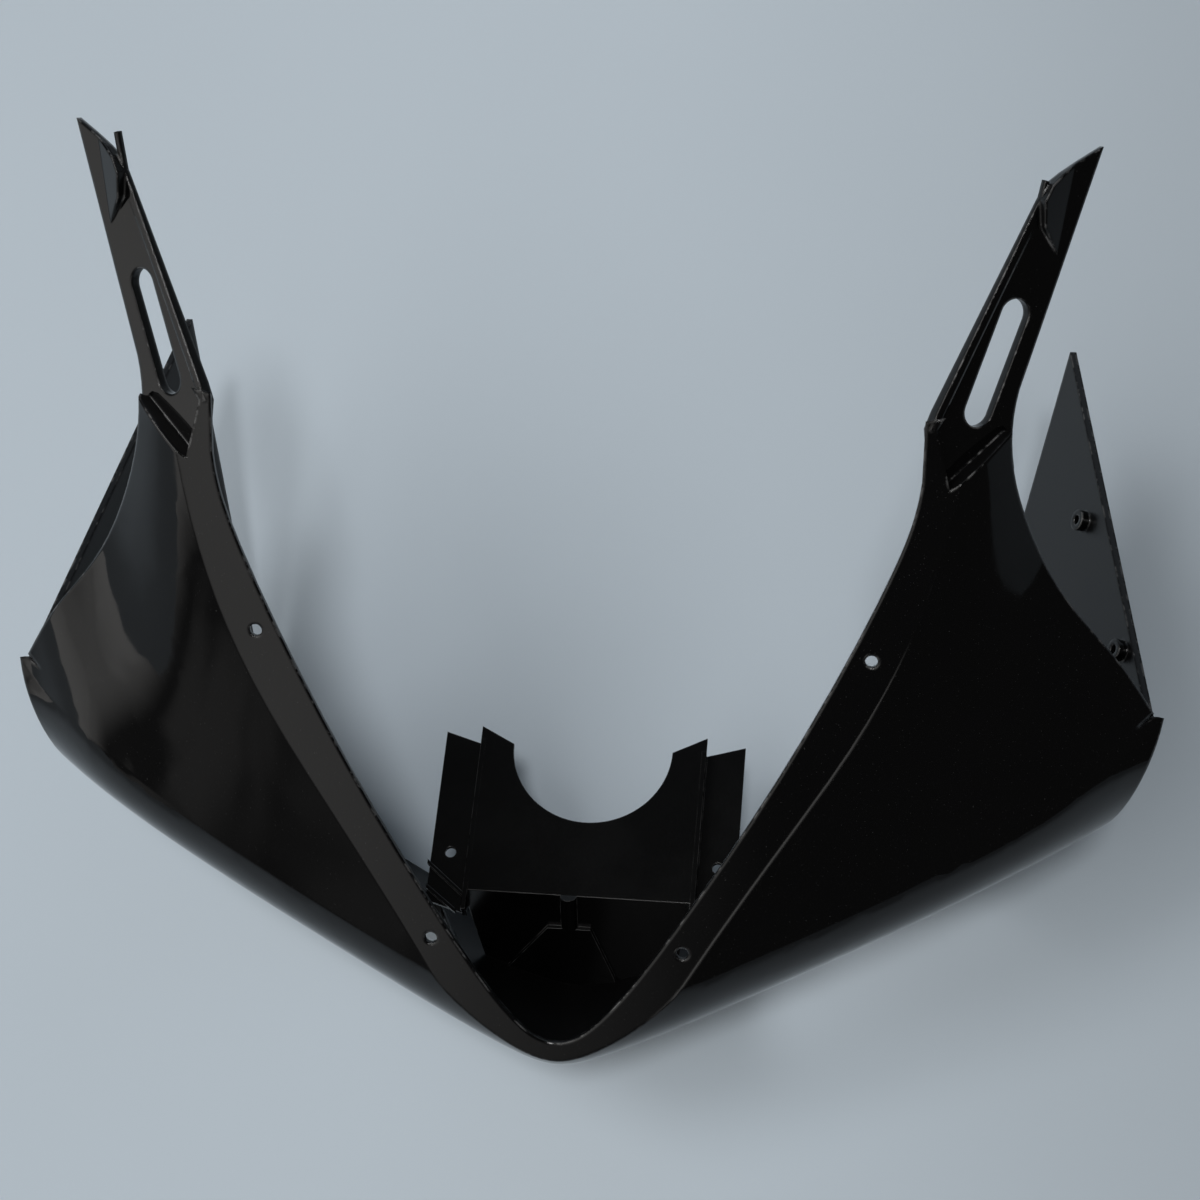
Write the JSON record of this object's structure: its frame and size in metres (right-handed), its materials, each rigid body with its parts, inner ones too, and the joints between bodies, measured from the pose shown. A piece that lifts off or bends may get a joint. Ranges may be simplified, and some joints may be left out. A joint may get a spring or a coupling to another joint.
{
  "type": "motorcycle fairing",
  "caption": "Gloss black motorcycle nose fairing with a V-shaped screen opening, headlight openings, slotted mirror arms, swept tail panels and an inner duct tray.",
  "frame": {"origin": "on the floor under the middle of the bounding box, in the symmetry plane", "axes": "nose towards -Y, right side +X, up +Z, standing on the lower edge"},
  "size_m": [0.582, 0.4084, 0.359],
  "materials": {
    "nose_shell": "gloss black outside, satin inside",
    "duct_tray": "satin black moulding"
  },
  "bodies": {
    "root": {"nose_shell": "nose_shell", "duct_tray": "duct_tray"}
  },
  "joints": []
}
